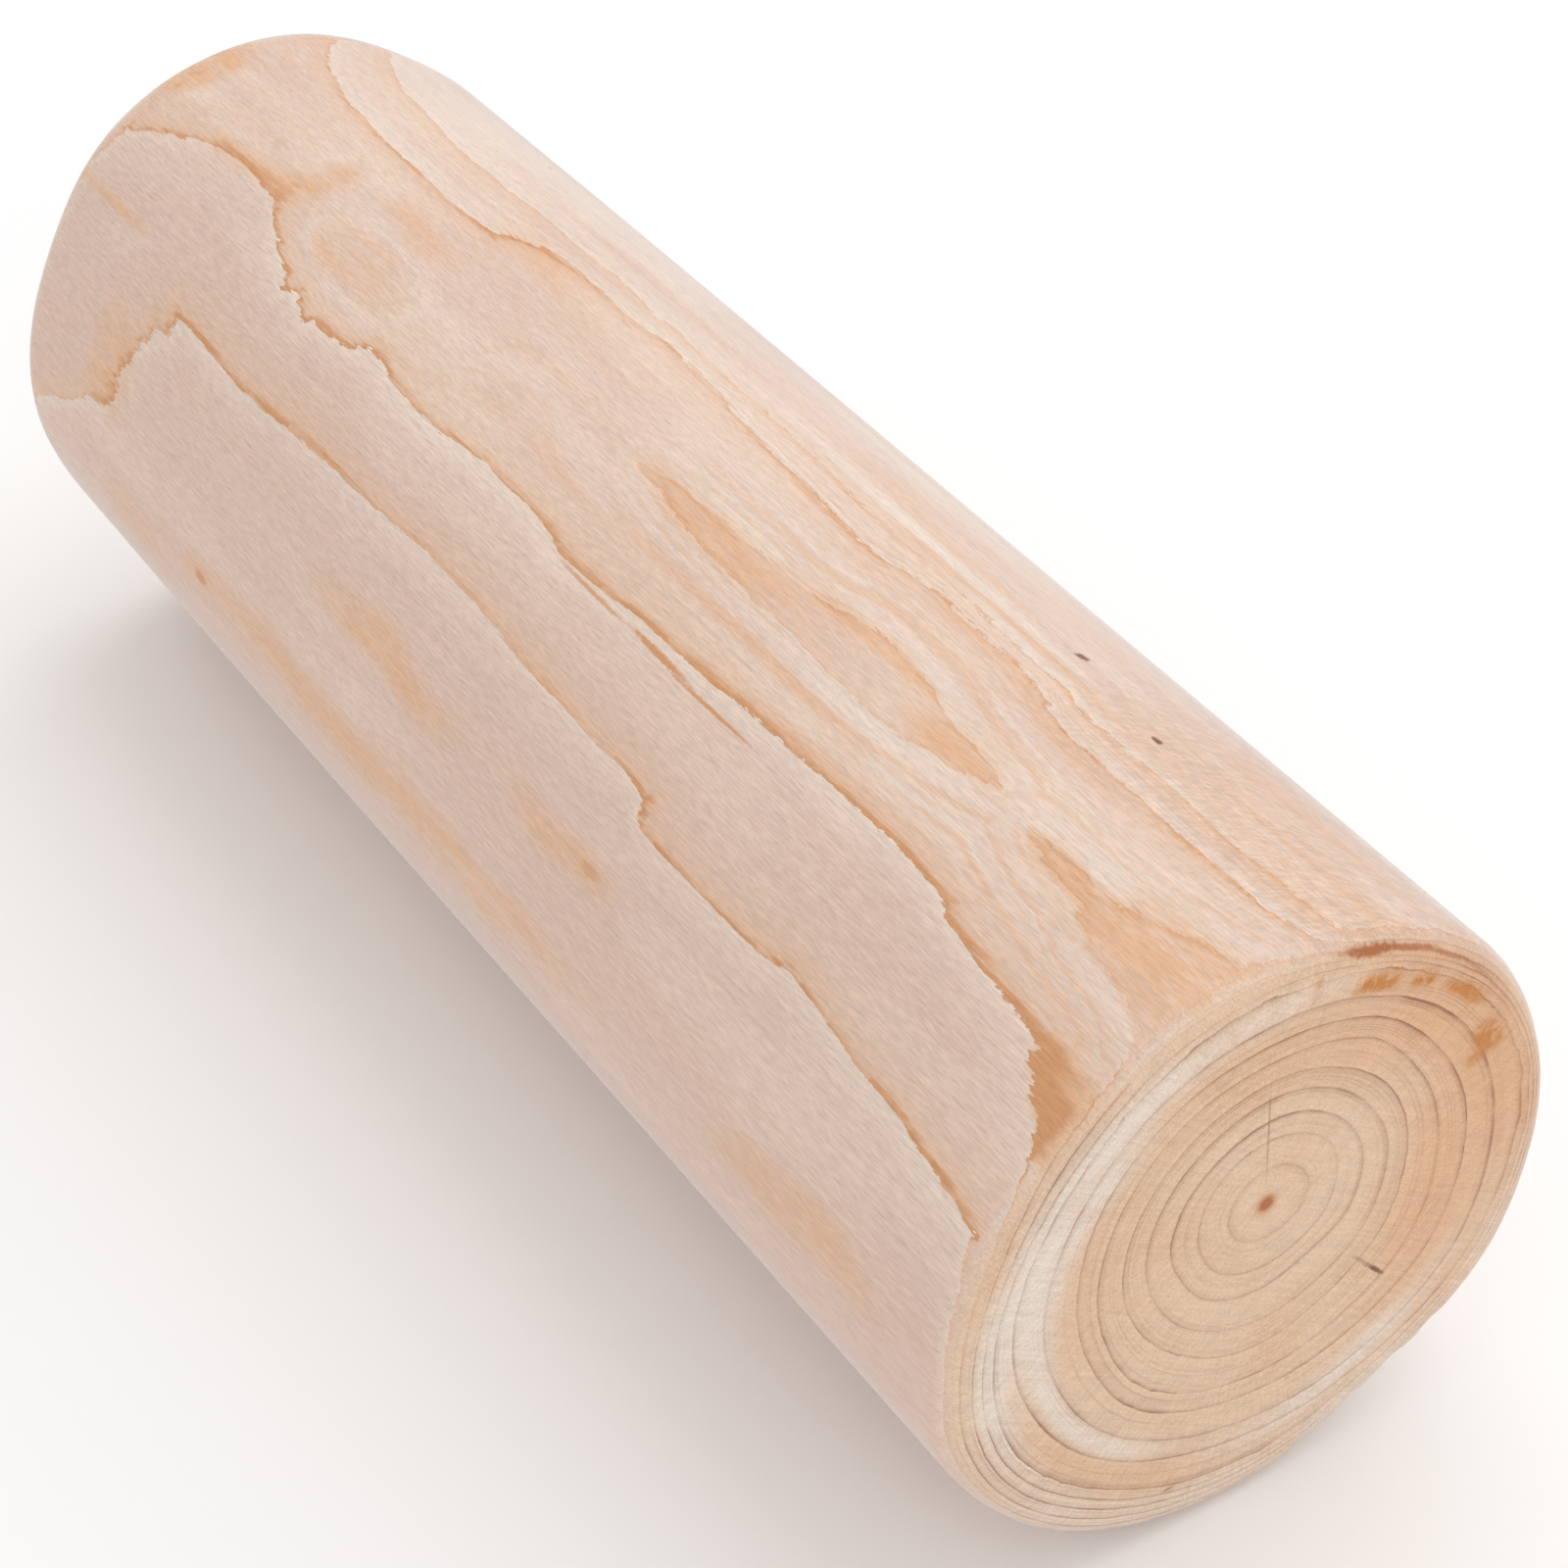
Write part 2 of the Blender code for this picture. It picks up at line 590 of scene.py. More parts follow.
@dataclass(frozen=True)
class PeeledWoodFinish:
    """Peeled, sanded softwood: pale sides with tan growth lines, warmer sawn ends."""

    cream: Colour = painted(231, 208, 192)
    pink: Colour = painted(221, 192, 176)
    rose: Colour = painted(198, 156, 134)
    tan: Colour = painted(225, 181, 146)
    amber: Colour = painted(207, 151, 107)
    heart: Colour = painted(228, 197, 168)
    honey: Colour = painted(224, 172, 128)
    sap: Colour = painted(235, 221, 207)
    ring_brown: Colour = painted(158, 108, 80)
    ochre: Colour = painted(200, 130, 62)
    umber: Colour = painted(172, 104, 60)
    knot_brown: Colour = painted(124, 80, 52)
    roughness: float = 0.62
    fuzz: float = 0.9
    fuzz_roughness: float = 0.22
    specular: float = 0.35
    bump: float = 0.55
    bump_depth: float = 0.00018
    dab_edge: Pair = (0.45, 1.15)

    fibre: Grain = Grain((45.0, 1300.0, 1300.0), 3.0, 0.6, 0.0)
    grain: Grain = Grain((400.0, 3700.0, 3700.0), 2.0, 0.65, 11.0)
    torn: Grain = Grain((120.0, 1150.0, 1150.0), 4.0, 0.7, 7.0)
    wave: Grain = Grain((60.0, 260.0, 260.0), 3.0, 0.55, 9.0)
    teeth: Grain = Grain((420.0, 1500.0, 1500.0), 2.0, 0.7, 17.0)
    blotch: Grain = Grain((14.0, 60.0, 60.0), 3.0, 0.55, 1.0, (0.35, 0.65))
    dashes: Grain = Grain((250.0, 2900.0, 2900.0), 1.5, 0.65, 5.0, (0.58, 0.74, 0.0, 0.36))
    flecks: Grain = Grain((280.0, 3100.0, 3100.0), 1.5, 0.6, 15.0, (0.58, 0.76, 0.0, 0.25))
    drift: Grain = Grain((24.0, 240.0, 240.0), 3.0, 0.6, 4.0, (0.32, 0.62, 0.55, 1.25))
    rubbing: Grain = Grain(
        (1700.0, 420.0, 150.0), 2.0, 0.65, 19.0, (0.3, 0.7, -0.11, 0.07), (0.0, 0.5, 0.3)
    )
    sanding: Grain = Grain((1500.0, 500.0, 120.0), 2.0, 0.6, 10.0, turn=(0.0, 0.5, 0.3))
    cloud: Grain = Grain((60.0, 60.0, 60.0), 3.0, 0.6, 2.0, (0.4, 0.7, 0.0, 0.30))
    uneven_rings: Grain = Grain((70.0, 70.0, 70.0), 3.0, 0.6, 8.0, (0.35, 0.65, 0.55, 1.35))
    soaked: Grain = Grain((500.0, 500.0, 500.0), 2.0, 0.6, 12.0, (0.32, 0.55, 0.5, 1.3))
    scratch: Grain = Grain(
        (60.0, 110.0, 2600.0), 2.0, 0.6, 6.0, (0.3, 0.7, -0.045, 0.045), (0.62, 0.0, 0.0)
    )
    crossing: Grain = Grain(
        (60.0, 110.0, 2200.0), 2.0, 0.6, 16.0, (0.3, 0.7, -0.04, 0.04), (-0.75, 0.0, 0.0)
    )
    gloss: Grain = Grain((90.0, 700.0, 700.0), 2.0, 0.5, 3.0, (0.3, 0.7, -0.07, 0.08))
    ragged: Grain = Grain((1500.0, 1500.0, 1500.0), 1.0, 0.5, 13.0, (0.2, 0.8, -0.17, 0.17))

    # Steps for the grain and the nested lines, as Signal.between takes them
    speckle: Quad = (0.30, 0.70, 0.90, 1.075)
    line_grain: Quad = (0.25, 0.75, 0.72, 1.28)
    side_shade: Quad = (0.25, 0.75, 0.955, 1.03)
    nest_light: Quad = (0.34, 0.48, 0.5, 0.0)
    nest_dark: Quad = (0.48, 0.66, 0.0, 0.50)
    nest_on_end: Quad = (0.52, 0.62, 0.0, 0.26)
    ray_shade: Quad = (0.3, 0.7, -0.04, 0.03)
    pith_stain: Quad = (0.05, 0.9, 0.0, 0.45)
    pith_core: Quad = (0.7, 1.7, 0.0, 0.95)

    # Reach in millimetres and strength of what fades beside a growth line, as Signal.fading takes them
    early_pale: Pair = (2.4, 0.55)
    line_bands: tuple[Pair, Pair] = ((0.75, 0.75), (3.6, 0.76))
    ring_bands: tuple[Pair, Pair] = ((0.28, 1.00), (1.0, 0.20))
    umber_line: Pair = (0.8, 0.70)
    ridge: Pair = (0.6, 0.25)

    def dark(self, kind: Mark) -> Colour:
        """The colour of a dark mark."""
        return {Mark.KNOT: self.knot_brown, Mark.STAIN: self.amber, Mark.SCORCH: self.umber}[kind]


@dataclass(frozen=True)
class Signal:
    """A number, place or colour that a material has at each point.

    Args:
        socket: The output that gives it.
    """

    socket: Socket

    def math(self, operation: str, *values: "Signal | float") -> "Signal":
        """What a Math node makes of some values."""
        return add_node(self.socket.id_data, "Math", dict(enumerate(values)), operation=operation)

    def __add__(self, other: "Signal | float") -> "Signal":
        """The sum of two values."""
        return self.math("ADD", self, other)

    def __sub__(self, other: "Signal | float") -> "Signal":
        """This value less another."""
        return self.math("SUBTRACT", self, other)

    def __rsub__(self, other: float) -> "Signal":
        """A number less this value."""
        return self.math("SUBTRACT", other, self)

    def __mul__(self, other: "Signal | float") -> "Signal":
        """The product of two values."""
        return self.math("MULTIPLY", self, other)

    def __truediv__(self, other: "Signal | float") -> "Signal":
        """This value divided by another."""
        return self.math("DIVIDE", self, other)

    def at_least(self, floor: float) -> "Signal":
        """This value, or a number where that is higher."""
        return self.math("MAXIMUM", self, floor)

    def fading(self, reach: float, strength: float) -> "Signal":
        """A strength that dies away with this distance, about a third of it left at the reach."""
        return self.math("EXPONENT", self * (-1.0 / reach)) * strength

    def between(self, low: float, high: float, to_low: float = 0.0, to_high: float = 1.0) -> "Signal":
        """A smooth step, from to_low where this value is low to to_high where it is high."""
        span = {"Value": self, "From Min": low, "From Max": high, "To Min": to_low, "To Max": to_high}
        return add_node(self.socket.id_data, "MapRange", span, interpolation_type="SMOOTHSTEP")


Fed = Signal | float | Triple


def add_node(
    tree: bpy.types.NodeTree, kind: str, inputs: dict[int | str, Fed], output: int | str = 0,
    **settings: str | bool,
) -> Signal:
    """Adds a node to a material.

    Args:
        tree: The material's nodes.
        kind: The node's type, without the ShaderNode that all of them begin with.
        inputs: What its inputs are fed, by number or name.
        output: The output that is wanted, by number or name.
        settings: The node's own settings.

    Returns:
        What the output gives.
    """
    node = tree.nodes.new("ShaderNode" + kind)
    for name, setting in settings.items():
        setattr(node, name, setting)
    for name, value in inputs.items():
        feed(value, node.inputs[name])
    return Signal(node.outputs[output])


def feed(value: Fed, socket: Socket) -> None:
    """Sets a socket to a value, or links it to what gives one.

    Args:
        value: A signal, a number, a colour or a place.
        socket: The socket that takes it.
    """
    if isinstance(value, Signal):
        socket.id_data.links.new(value.socket, socket)
    else:
        socket.default_value = (*value, 1.0) if socket.type == "RGBA" else value


class NodeBench:
    """Adds the nodes of one material."""

    def __init__(self, material: bpy.types.Material) -> None:
        """Starts on a material's own nodes.

        Args:
            material: The material to dress.
        """
        material.use_nodes = True
        self.tree = material.node_tree
        self.surface = self.tree.nodes["Principled BSDF"]
        self.place = add_node(self.tree, "TexCoord", {}, "Object")

    def attribute(self, name: str) -> Signal:
        """A number that the mesh holds at each point."""
        return add_node(self.tree, "Attribute", {}, "Fac", attribute_name=name)

    def noise(self, grain: Grain) -> Signal:
        """Noise in the log's own space.

        Args:
            grain: The pattern.

        Returns:
            What its step makes of it, or else a value round 0.5.
        """
        turned = {"Vector": self.place, "Rotation": grain.turn, "Location": (grain.shift,) * 3}
        stretched = {"Vector": add_node(self.tree, "Mapping", turned), "Scale": grain.scale}
        value = self.noise_at(add_node(self.tree, "Mapping", stretched), grain.detail, grain.roughness)
        return value.between(*grain.step) if grain.step else value

    def noise_at(self, place: Signal, detail: float, roughness: float) -> Signal:
        """Noise at a place, about one feature to the unit: a value round 0.5."""
        settings = {"Vector": place, "Scale": 1.0, "Detail": detail, "Roughness": roughness}
        return add_node(self.tree, "TexNoise", settings, "Fac")

    def apart(self, place: Signal) -> tuple[Signal, Signal, Signal]:
        """A place's X, Y and Z."""
        node = add_node(self.tree, "SeparateXYZ", {0: place}).socket.node
        return tuple(Signal(output) for output in node.outputs)

    def joined(self, *coordinates: Signal) -> Signal:
        """A place from its X and Y, and its Z where that isn't 0."""
        return add_node(self.tree, "CombineXYZ", dict(enumerate(coordinates)))

    def blend(self, amount: Signal | float, under: Fed, over: Fed, kind: str = "MIX") -> Signal:
        """One colour over another.

        Args:
            amount: How much of the upper colour shows, 0 to 1.
            under: The lower colour.
            over: The upper colour.
            kind: The Mix node's blend type.

        Returns:
            The mixed colour.
        """
        fed = {MIX_FACTOR: amount, MIX_UNDER: under, MIX_OVER: over}
        settings = {"data_type": "RGBA", "blend_type": kind, "clamp_factor": True}
        return add_node(self.tree, "Mix", fed, MIX_RESULT, **settings)

    def shaded(self, colour: Signal, shade: Signal) -> Signal:
        """A colour, darker or lighter by a shade round 1."""
        return self.blend(1.0, colour, shade, "MULTIPLY")


@dataclass(frozen=True)
class Dab:
    """A small dark mark, in the log's own space.

    Args:
        place: Its middle, in metres.
        turn: How it is turned, in radians about X, Y and Z.
        reach: Its half sizes along its own three directions, in metres.
        strength: How dark it is, 0 to 1.
        kind: What it is.
    """

    place: Triple
    turn: Triple
    reach: Triple
    strength: float
    kind: Mark


@dataclass(frozen=True)
class Reading:
    """What the sides, the ends and the relief of the material share.

    Args:
        cut: 0 on the sides, 1 on the ends.
        fibre: The grain.
        grain: The finest grain.
        early: The distance from the older growth line, in millimetres.
        late: The distance to the younger one.
        nest: Fainter lines of uneven width, nested along the growth lines.
    """

    cut: Signal
    fibre: Signal
    grain: Signal
    early: Signal
    late: Signal
    nest: Signal


@dataclass
class PeeledWood:
    """The log's material, from its finish.

    How far the growth lines are torn and wander, and the least width that they
    have, are in millimetres.
    """

    finish: PeeledWoodFinish = field(default_factory=PeeledWoodFinish)
    tear: float = 7.2
    wander_on_side: float = 0.72
    wander_on_end: float = 0.33
    teeth_share: float = 0.6
    narrow: float = 9.0
    narrow_ring: float = 3.0
    nest_scale: Triple = (10.0, 9.0, 9.0)
    ray_scale: Pair = (75.0, 160.0)
    fibre_height: float = 0.7
    grain_height: float = 0.8
    sanding_height: float = 1.6
    dabs: tuple[Dab, ...] = ()
    pith_axis: Pair = (0.0, 0.0)

    def material(self, name: str) -> bpy.types.Material:
        """Makes the material.

        Args:
            name: The material's name.

        Returns:
            The material.
        """
        wood = bpy.data.materials.new(name)
        bench, look = NodeBench(wood), self.finish
        read = self.read(bench)
        colour = bench.blend(read.cut, self.side_colour(bench, read), self.end_colour(bench, read))
        crisp = read.late.fading(*look.umber_line) + 0.35
        colour = bench.blend(bench.attribute("umber") * crisp, colour, look.umber)
        colour = bench.shaded(colour, read.grain.between(*look.speckle))
        ragged = bench.noise(look.ragged)
        for dab in self.dabs:
            colour = bench.blend(self.dabbed(bench, dab, ragged), colour, look.dark(dab.kind))
        halo = bench.attribute("pith") * 2.2
        colour = bench.blend(halo.between(*look.pith_stain), colour, look.ochre)
        colour = bench.blend(halo.between(*look.pith_core), colour, look.umber)
        for socket, value in {
            "Base Color": colour,
            "Roughness": bench.noise(look.gloss) + look.roughness,
            "Specular IOR Level": look.specular,
            "Sheen Weight": look.fuzz,
            "Sheen Roughness": look.fuzz_roughness,
            "Normal": self.relief(bench, read),
        }.items():
            feed(value, bench.surface.inputs[socket])
        return wood

    def read(self, bench: NodeBench) -> Reading:
        """Reads the year at each point, and how far the growth lines on its two sides are.

        Where the lines crowd together the distances are stretched, so that each
        keeps its own narrow band.

        Args:
            bench: The material's nodes.

        Returns:
            What the rest of the material shares.
        """
        look = self.finish
        cut, spacing = bench.attribute("cut"), bench.attribute("spacing")
        on_side = 1.0 - cut
        along = (bench.noise(look.torn) - 0.5) * self.tear
        lean = bench.attribute("slope") * on_side
        wave = bench.noise(look.wave) - 0.5 + (bench.noise(look.teeth) - 0.5) * self.teeth_share * on_side
        aside = wave * cut.between(0.0, 1.0, self.wander_on_side, self.wander_on_end) / spacing
        year = bench.attribute("year") + (lean * along + aside)
        share = year.math("FRACT", year)
        width = spacing.at_least(self.narrow) * on_side + spacing.at_least(self.narrow_ring) * cut
        x, y, _ = bench.apart(bench.place)
        nested = (value * scale for value, scale in zip((year, x, y), self.nest_scale))
        nest = bench.noise_at(bench.joined(*nested), 2.0, 0.55)
        fibre, grain = bench.noise(look.fibre), bench.noise(look.grain)
        return Reading(cut, fibre, grain, share * width, (1.0 - share) * width, nest)

    def dabbed(self, bench: NodeBench, dab: Dab, ragged: Signal) -> Signal:
        """How much of a dark mark shows at each point.

        Args:
            bench: The material's nodes.
            dab: The mark.
            ragged: How far its edge wanders.

        Returns:
            The amount, 0 to its strength.
        """
        fed = {"Vector": bench.place, "Location": dab.place, "Rotation": dab.turn, "Scale": dab.reach}
        turned = add_node(bench.tree, "Mapping", fed, vector_type="TEXTURE")
        away = add_node(bench.tree, "VectorMath", {0: turned}, "Value", operation="LENGTH")
        return (away + ragged).between(*self.finish.dab_edge, dab.strength, 0.0)

    def side_colour(self, bench: NodeBench, read: Reading) -> Signal:
        """The colour of the sanded sides.

        Args:
            bench: The material's nodes.
            read: What the parts of the material share.

        Returns:
            The colour.
        """
        look = self.finish
        rosy = bench.noise(look.blotch) + bench.attribute("blush")
        base = bench.blend(rosy, look.cream, look.pink)
        base = bench.blend(read.early.fading(*look.early_pale), base, look.sap)
        base = bench.blend(bench.noise(look.dashes), base, look.rose)
        base = bench.blend(bench.noise(look.flecks), base, look.sap)
        thin, wide = (read.late.fading(*band) for band in look.line_bands)
        ragged = read.fibre.between(*look.line_grain)
        line = (thin + wide) * bench.attribute("tone") * ragged
        patch = bench.attribute("tan") * bench.noise(look.drift)
        nested = bench.attribute("nested")
        base = bench.blend(read.nest.between(*look.nest_light) * nested, base, look.sap)
        inner = read.nest.between(*look.nest_dark) * nested
        colour = bench.blend(line + inner + patch * ragged, base, look.tan)
        colour = bench.blend((line + patch * 0.5).between(0.55, 1.15), colour, look.amber)
        rubbed = bench.noise(look.rubbing) * bench.attribute("sanded")
        return bench.shaded(colour, read.fibre.between(*look.side_shade) + rubbed)

    def end_colour(self, bench: NodeBench, read: Reading) -> Signal:
        """The colour of the sawn ends.

        Args:
            bench: The material's nodes.
            read: What the parts of the material share.

        Returns:
            The colour.
        """
        look = self.finish
        base = bench.blend(bench.attribute("pale"), look.heart, look.sap)
        base = bench.blend(bench.noise(look.cloud), base, look.honey)
        base = bench.blend(bench.attribute("warm") * 0.75, base, look.honey)
        thin, wide = (read.late.fading(*band) for band in look.ring_bands)
        band = thin + wide + read.nest.between(*look.nest_on_end)
        line = band * bench.attribute("tone") * bench.noise(look.uneven_rings)
        colour = bench.blend(line, base, look.ring_brown)
        colour = bench.blend(bench.attribute("ochre") * bench.noise(look.soaked), colour, look.ochre)
        scratches = bench.noise(look.scratch) + bench.noise(look.crossing)
        return bench.shaded(colour, scratches + 1.0 + self.rays(bench).between(*look.ray_shade))

    def rays(self, bench: NodeBench) -> Signal:
        """Fine lines that run out from the pith on the sawn ends.

        Args:
            bench: The material's nodes.

        Returns:
            A value round 0.5.
        """
        _, across, up = bench.apart(bench.place)
        across, up = across - self.pith_axis[0], up - self.pith_axis[1]
        squares = across * across + up * up
        turn, reach = up.math("ARCTAN2", up, across), squares.math("SQRT", squares)
        place = bench.joined(turn * self.ray_scale[0], reach * self.ray_scale[1])
        return bench.noise_at(place, 2.0, 0.6)

    def relief(self, bench: NodeBench, read: Reading) -> Signal:
        """The grain, the late wood and the sanding marks, raised a little.

        Args:
            bench: The material's nodes.
            read: What the parts of the material share.

        Returns:
            The surface's direction at each point.
        """
        look = self.finish
        height = read.fibre * self.fibre_height + read.grain * self.grain_height
        height = height + bench.noise(look.sanding) * bench.attribute("sanded") * self.sanding_height
        ridge = read.late.fading(*look.ridge) * bench.attribute("tone")
        height = height + ridge * read.cut.between(0.0, 1.0, 1.0, 0.0)
        fed = {"Strength": look.bump, "Distance": look.bump_depth, "Height": height}
        return add_node(bench.tree, "Bump", fed)


@dataclass
class PeeledLog:
    """The log itself, from a plain cylinder to the dressed piece.

    Sizes of the mesh are in metres, and those of the markings in millimetres.
    """

    shape: LogShape
    growth: GrowthField
    wood: PeeledWood
    patches: tuple[Patch, ...]
    strokes: tuple[Stroke, ...]
    knots: tuple[Knot, ...]
    checks: tuple[Check, ...]
    steps_around: int = 288
    end_steps: tuple[int, int] = (40, 20)
    steps_in_round: int = 7
    cuts: int = 15
    chips: tuple[Triple, ...] = (
        (315.0, 2.2, 0.0009), (306.0, 2.4, 0.0010), (296.0, 1.8, 0.0007), (286.5, 2.0, 0.0007),
    )
    chip_station: float = 0.0020
    chip_reach: float = 0.0022
    near_reach: float = 100.0
    rim_reach: float = 4.5
    widest_spacing: float = 24.0
    most_lines: float = 3.0
    steepest_slope: float = 0.12
    sanded: Patch = Patch((-30.0, 62.0), (40.0, 90.0), 1.0, 20.0)
    name: str = "peeled_log"
    pole: Vector = field(default_factory=Vector)

    def build(self) -> bpy.types.Object:
        """Builds, shapes, marks and dresses the log.

        Returns:
            The finished piece.
        """
        log = self.blank()
        surface = self.grow(log)
        self.mark(log, surface)
        log.data.materials.clear()
        self.wood.dabs = (*map(self.dab, self.knots), *map(self.end_dab, self.checks))
        across, up = self.growth.near_pith
        self.wood.pith_axis = (self.pole.y + across * MM, self.pole.z + up * MM)
        log.data.materials.append(self.wood.material("peeled_softwood"))
        return log

    def dab(self, knot: Knot) -> Dab:
        """A knot as a dark mark in the log's own space.

        Args:
            knot: The knot.

        Returns:
            The mark.
        """
        turn = math.radians(knot.angle)
        radius = float(self.shape.trunk_radius(np.array(knot.angle), np.array(knot.station * MM)))
        place = self.pole + Vector((-knot.station * MM, radius * math.cos(turn), radius * math.sin(turn)))
        long, wide = (size * MM for size in knot.reach)
        out = Matrix.Rotation(turn, 3, "X") @ Matrix.Rotation(math.radians(knot.turn), 3, "Y")
        return Dab(tuple(place), tuple(out.to_euler()), (long, 2.5 * MM, wide), knot.strength, knot.kind)

    def end_dab(self, check: Check) -> Dab:
        """A crack in the near end as a dark mark in the log's own space.

        Args:
            check: The crack.

        Returns:
            The mark.
        """
        across, up = ((first + last) / 2.0 for first, last in zip(check.start, check.end))
        run = Vector((0.0, check.end[0] - check.start[0], check.end[1] - check.start[1]))
        forward = self.shape.near_lean[0] * across + self.shape.near_lean[1] * up
        place = self.pole + Vector((forward, across, up)) * MM
        turn = Matrix.Rotation(math.atan2(run.z, run.y), 3, "X")
        reach = (4.0 * MM, run.length / 2.0 * MM, check.half_width * MM)
        return Dab(tuple(place), tuple(turn.to_euler()), reach, check.strength, check.kind)

    def select(self, log: bpy.types.Object, mode: str, wanted: Callable) -> None:
        """Selects edges or faces in edit mode.

        Args:
            log: The object in edit mode.
            mode: EDGE or FACE.
            wanted: Says whether an element is selected.
        """
        bpy.ops.mesh.select_mode(type=mode)
        bpy.ops.mesh.select_all(action="DESELECT")
        form = bmesh.from_edit_mesh(log.data)
        for element in form.edges if mode == "EDGE" else form.faces:
            if wanted(element):
                element.select_set(True)
        bmesh.update_edit_mesh(log.data)

    def on_end(self, end: LogEnd) -> Callable:
        """A test of whether an edge or face of the blank lies on a sawn end."""
        level = self.shape.length / 2.0 * end.value
        return lambda element: all(abs(vert.co.x - level) < 1e-5 for vert in element.verts)

    def runs_along(self, edge: bmesh.types.BMEdge) -> bool:
        """Whether an edge of the blank runs along it between its two roundings.

        Args:
            edge: The edge.

        Returns:
            True if it does.
        """
        half = self.shape.length / 2.0
        first, second = (vert.co for vert in edge.verts)
        straight = abs(first.y - second.y) < 1e-6 and abs(first.z - second.z) < 1e-6
        middle = (first.x + second.x) / 2.0
        return straight and -half + self.shape.far_round < middle < half - self.shape.near_round

    def blank(self) -> bpy.types.Object:
        """A turned cylinder with rounded rims, divided finely all over.

        Returns:
            The blank, with its length along X.
        """
        bpy.ops.object.select_all(action="DESELECT")
        bpy.ops.mesh.primitive_cylinder_add(
            vertices=self.steps_around, radius=self.shape.radius, depth=self.shape.length,
            rotation=(0.0, math.pi / 2.0, 0.0),
        )
        log = bpy.context.object
        log.name = log.data.name = self.name
        bpy.ops.object.transform_apply(location=True, rotation=True, scale=True)
        bpy.ops.object.mode_set(mode="EDIT")
        for end in LogEnd:
            self.select(log, "EDGE", self.on_end(end))
            bpy.ops.mesh.bevel(
                offset=self.shape.rounding(end), segments=self.steps_in_round, profile=0.5, affect="EDGES"
            )
        for end, count in zip(LogEnd, self.end_steps):
            self.select(log, "FACE", self.on_end(end))
            step = (self.shape.radius - self.shape.rounding(end)) / (count + 1.0)
            for _ in range(count):
                bpy.ops.mesh.inset(thickness=step, depth=0.0)
            bpy.ops.mesh.poke()
        for _ in range(2):
            self.select(log, "EDGE", self.runs_along)
            bpy.ops.mesh.subdivide(number_cuts=self.cuts)
        bpy.ops.object.mode_set(mode="OBJECT")
        return log

    def grow(self, log: bpy.types.Object) -> Surface:
        """Moves the blank's points to the log's oval section, leaning cuts, worn rims and flat.

        Args:
            log: The blank.

        Returns:
            Where its points are, for the markings.
        """
        shape = self.shape
        station, angle, radius = self.trunk_place(numbers_of(log.data.vertices, "co", 3).astype(float))
        across, up = radius * np.cos(np.radians(angle)), radius * np.sin(np.radians(angle))
        share = station / shape.length
        near, far = (lean[0] * across + lean[1] * up for lean in (shape.near_lean, shape.far_lean))
        along = shape.length / 2.0 - station + (1.0 - share) * near + share * far
        grown = np.stack([along, across, np.maximum(up, shape.flat_depth - shape.radius)], axis=1)
        low, high = (np.array(corner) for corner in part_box("stump_log"))
        shift = (low + high) / 2.0 - (grown.max(axis=0) + grown.min(axis=0)) / 2.0
        shift[2] = low[2] - grown[:, 2].min()
        self.pole = Vector((shape.length / 2.0 + shift[0], shift[1], shift[2]))
        log.data.vertices.foreach_set("co", (grown + shift).astype(np.float32).ravel())
        bpy.ops.object.mode_set(mode="EDIT")
        bpy.ops.mesh.select_all(action="SELECT")
        bpy.ops.mesh.normals_make_consistent(inside=False)
        bpy.ops.object.mode_set(mode="OBJECT")
        bpy.ops.object.shade_smooth()
        log.data.update()
        facing = np.abs(numbers_of(log.data.vertex_normals, "vector", 3)[:, 0])
        return Surface(station / MM, angle, across / MM, up / MM, eased((facing - 0.35) / 0.5))

    def trunk_place(self, blank: Array) -> tuple[Array, Array, Array]:
        """Where the blank's points lie on the trunk.

        Args:
            blank: The blank's points.

        Returns:
            Each point's station in metres, its angle and its distance from the axis.
        """
        shape = self.shape
        x, y, z = blank.T
        blank_radius = np.hypot(y, z)
        angle = np.degrees(np.arctan2(z, y)) % 360.0
        rim = shape.worn_round(angle)
        wear = rim / shape.near_round
        depth = shape.length / 2.0 - x
        rounding = depth < shape.near_round
        stretch = (shape.length - rim) / (shape.length - shape.near_round)
        station = np.where(rounding, depth * wear, shape.length - (shape.length - depth) * stretch)
        trunk = shape.trunk_radius(angle, station)
        radius = trunk - (shape.radius - blank_radius) * np.where(rounding, wear, 1.0)
        for end, at_rim in ((LogEnd.NEAR, rim), (LogEnd.FAR, shape.far_round)):
            flat = abs(x - end.value * shape.length / 2.0) < 1e-6
            share = blank_radius / (shape.radius - shape.rounding(end))
            radius = np.where(flat, (trunk - at_rim) * np.minimum(share, 1.0), radius)
        on_rim = np.exp(-(((station - self.chip_station) / self.chip_reach) ** 2))
        on_rim = on_rim * (blank_radius > 0.9 * shape.radius)
        chipped = sum(deep * closeness(angle, middle, half) * on_rim for middle, half, deep in self.chips)
        return station, angle, radius - chipped

